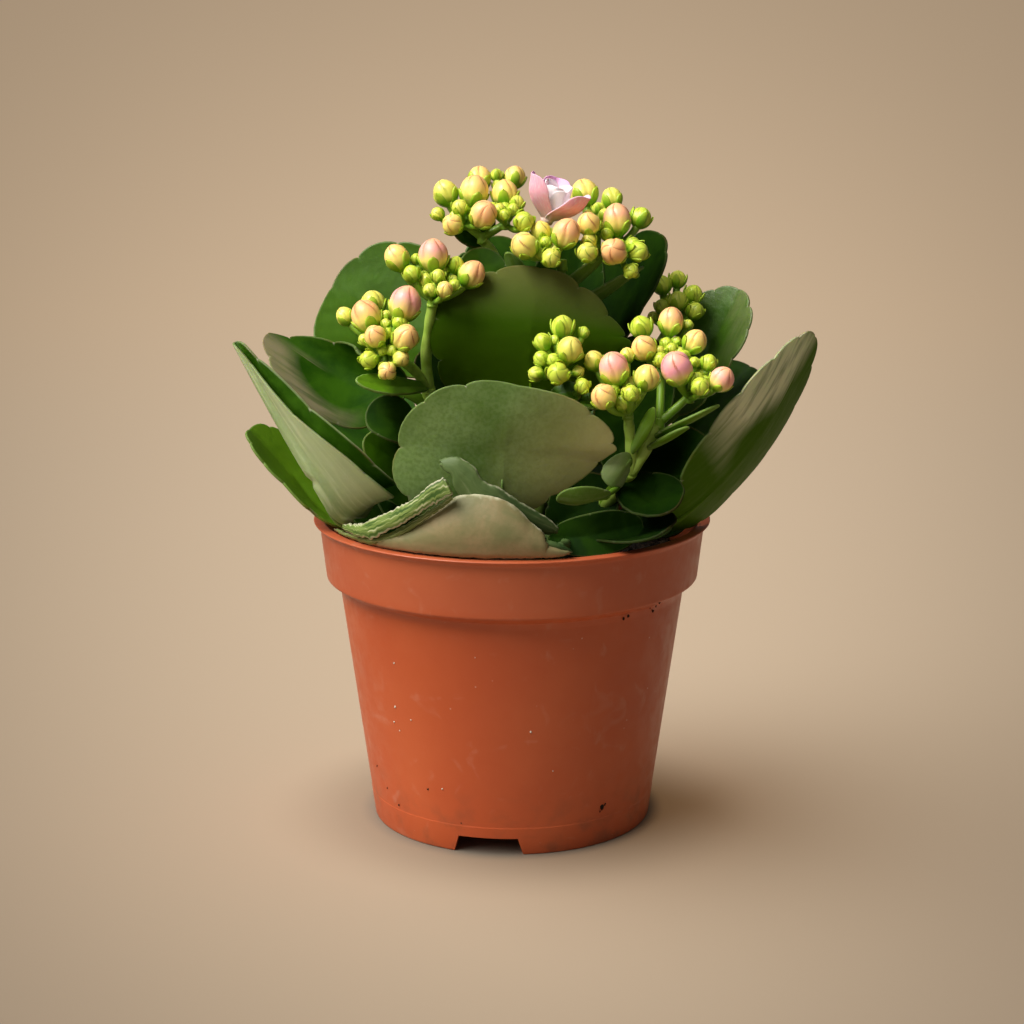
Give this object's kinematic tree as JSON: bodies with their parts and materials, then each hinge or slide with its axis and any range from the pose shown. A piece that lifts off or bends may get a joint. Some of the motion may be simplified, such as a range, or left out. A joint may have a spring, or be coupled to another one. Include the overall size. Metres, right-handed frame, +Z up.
{
  "type": "potted kalanchoe",
  "caption": "Potted kalanchoe: a tapered nursery pot of soil with thick scalloped leaves and heads of closed flower buds round one opening bloom.",
  "frame": {"origin": "on the surface that the pot stands on, under the middle of the whole plant's box; the pot's axis stands at x = -4.4 mm, y = -6.2 mm", "axes": "+Z up along the pot's axis; -Y is the front, where the large front leaf and the snapped leaf on the rim are; +X to the right seen from the front"},
  "size_m": [0.1274, 0.1023, 0.148],
  "materials": {
    "pot": "terracotta-coloured moulded plastic, satin, lighter at the band's lower edge",
    "soil": "dark loose peat soil, matt and crumbly",
    "stem": "living stem, pale green, faintly glossy",
    "leaf": "living succulent leaf, dark green and glossy above, grey-green and matt below, pale margin",
    "torn_leaf": "underside of a snapped leaf, beige-green, bright green where torn",
    "bud": "waxy bud, green at its foot, yellow to peach and pink at the tip",
    "petal": "soft pink petal, paler inside, mauve at the tips"
  },
  "bodies": {
    "root": {"bloom": "petal", "head_back": "bud", "head_back_right": "bud", "head_left_lower": "bud", "head_left_upper": "bud", "head_middle": "bud", "head_right": "bud", "head_right_front": "bud", "head_top_centre": "bud", "head_top_left": "bud", "head_top_right": "bud", "leaf_back_centre": "leaf", "leaf_back_high": "leaf", "leaf_back_inner": "leaf", "leaf_back_left": "leaf", "leaf_back_left_low": "leaf", "leaf_back_low": "leaf", "leaf_back_right_low": "leaf", "leaf_back_upper": "leaf", "leaf_centre": "leaf", "leaf_crown": "leaf", "leaf_front_broken": "torn_leaf", "leaf_front_centre": "leaf", "leaf_left_long": "leaf", "leaf_left_low": "leaf", "leaf_left_mid": "leaf", "leaf_left_rear": "leaf", "leaf_left_shade": "leaf", "leaf_left_under": "leaf", "leaf_right": "leaf", "leaf_right_back": "leaf", "leaf_right_far": "leaf", "leaf_right_rear": "leaf", "leaf_right_shade": "leaf", "leaf_right_spoon": "leaf", "leaf_small_oval": "leaf", "leaf_small_tip": "leaf", "pot": "pot", "soil": "soil", "stem_back": "stem", "stem_back_right": "stem", "stem_centre": "stem", "stem_left": "stem", "stem_middle": "stem", "stem_right": "stem"}
  },
  "joints": []
}
